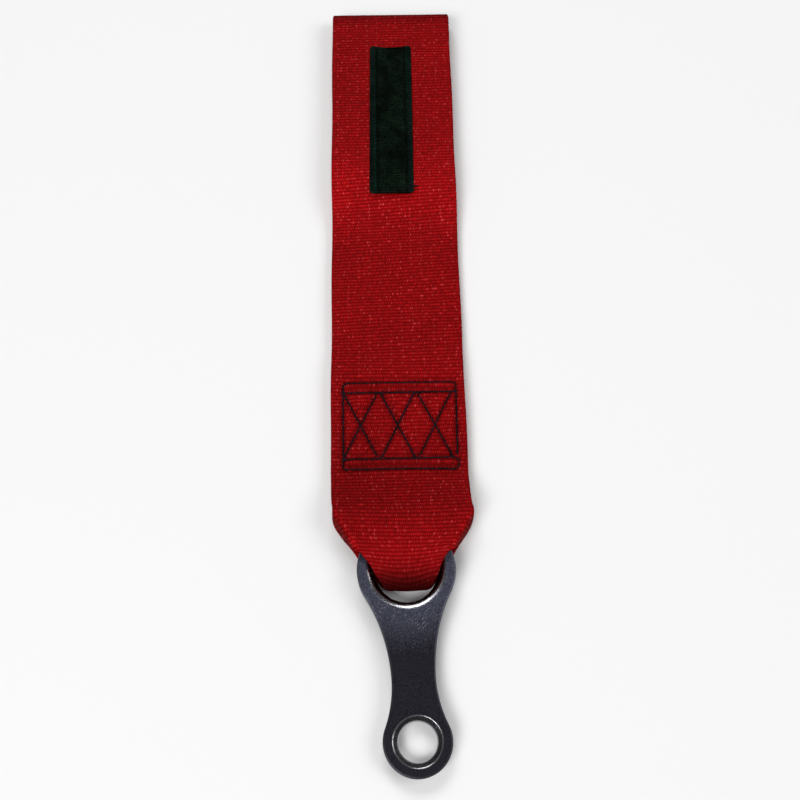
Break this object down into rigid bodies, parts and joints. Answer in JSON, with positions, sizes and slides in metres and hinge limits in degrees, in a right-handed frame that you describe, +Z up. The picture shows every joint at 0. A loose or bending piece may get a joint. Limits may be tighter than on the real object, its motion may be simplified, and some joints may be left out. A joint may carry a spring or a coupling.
{
  "type": "tow strap",
  "caption": "Looped webbing tow strap lying flat, box-stitched near one end, with a sewn hook-and-loop patch and a plated steel link whose large eye hangs in the short loop.",
  "frame": {"origin": "middle of the part's footprint, on the floor it lies on", "axes": "+Y along the strap from the link's bolt eye to the fold, +Z up from the floor through the patch, +X to the right with the patch upward"},
  "size_m": [0.0504, 0.3134, 0.0112],
  "materials": {
    "webbing_red": "ribbed woven webbing, slight sheen",
    "thread_navy": "heavy bonded thread",
    "patch_black": "fuzzy hook-and-loop tape",
    "link_steel": "dark zinc plating over a grainy face, bright worn rims"
  },
  "bodies": {
    "strap": {"webbing": "webbing_red", "box_stitching": "thread_navy", "hook_and_loop_patch": "patch_black"},
    "link": {"tow_link": "link_steel"}
  },
  "joints": [
    {"name": "link_swing", "type": "hinge", "parent": "strap", "child": "link", "pos_m": [0.00017, -0.05986, 0.005], "axis": [-0.999, -0.0454, 0], "range_deg": [0, 90], "deforming": ["webbing"]}
  ]
}
